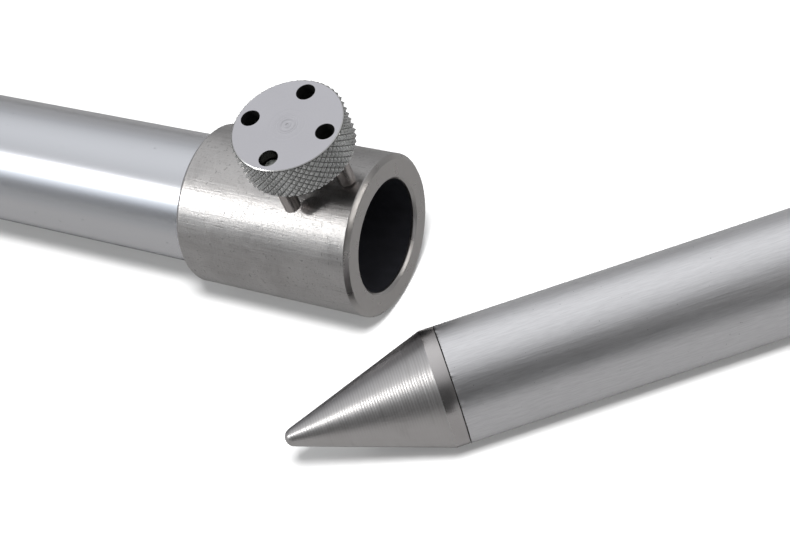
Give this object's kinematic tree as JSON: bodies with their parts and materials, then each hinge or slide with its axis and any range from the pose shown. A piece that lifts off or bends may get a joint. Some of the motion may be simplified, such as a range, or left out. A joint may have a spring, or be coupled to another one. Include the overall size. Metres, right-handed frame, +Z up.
{
  "type": "telescopic bank stick",
  "caption": "Telescopic bank stick in two sections: an upper tube with a threaded head and a knob-clamped collar, and a thinner tube with a ground spike drawn out beside it.",
  "frame": {"origin": "where the axis of the clamp screw crosses the axis of the collar's bore", "axes": "+X along the upper section's axis, out of the collar's mouth; +Z up, away from the surface that both sections lie on; +Y to the left of +X seen from above"},
  "size_m": [0.5319, 0.189, 0.0348],
  "materials": {
    "anodised_tube": "smooth clear anodising, slightly blue",
    "machined_collar": "bare, drawn lengthwise, scratched",
    "black_bush": "smooth black acetal",
    "knurled_knob": "fine matte face, diamond knurl",
    "steel_pin": "ground steel",
    "screw_steel": "threaded steel",
    "nylon_pad": "natural nylon",
    "head_aluminium": "turned",
    "brass_insert": "turned and tapped",
    "rubber_black": "matte",
    "brushed_tube": "brushed lengthwise, satin",
    "turned_spike": "turned, fine tool lines",
    "black_plug": "moulded"
  },
  "bodies": {
    "upper_section": {"outer_tube": "anodised_tube", "collar": "machined_collar", "bore_liner": "black_bush", "head_boss": "head_aluminium", "head_insert": "brass_insert", "head_pin": "steel_pin", "head_buffer": "rubber_black"},
    "clamp_nose": {"clamp_pad": "nylon_pad"},
    "clamp_knob": {"knob": "knurled_knob", "knob_pin_1": "steel_pin", "knob_pin_2": "steel_pin", "knob_pin_3": "steel_pin", "knob_pin_4": "steel_pin", "clamp_screw": "screw_steel"},
    "lower_section": {"inner_tube": "brushed_tube", "ground_spike": "turned_spike", "spike_ring": "rubber_black", "top_plug": "black_plug"}
  },
  "joints": [
    {"name": "clamp_travel", "type": "slide", "parent": "upper_section", "child": "clamp_nose", "axis": [0, -0.1219, 0.9925], "range_m": [-0.0002, 0.0012]},
    {"name": "knob_turn", "type": "hinge", "parent": "clamp_nose", "child": "clamp_knob", "pos_m": [0, 0, 0], "axis": [0, -0.1219, 0.9925], "range_deg": [-90, 540]},
    {"name": "lower_section_slide", "type": "slide", "parent": "upper_section", "child": "lower_section", "axis": [0.7688, 0.6394, 0], "range_m": [0, 0.2]}
  ],
  "couplings": [
    {"joint": "knob_turn", "follows": "clamp_travel", "rad_per_m": 7854}
  ]
}
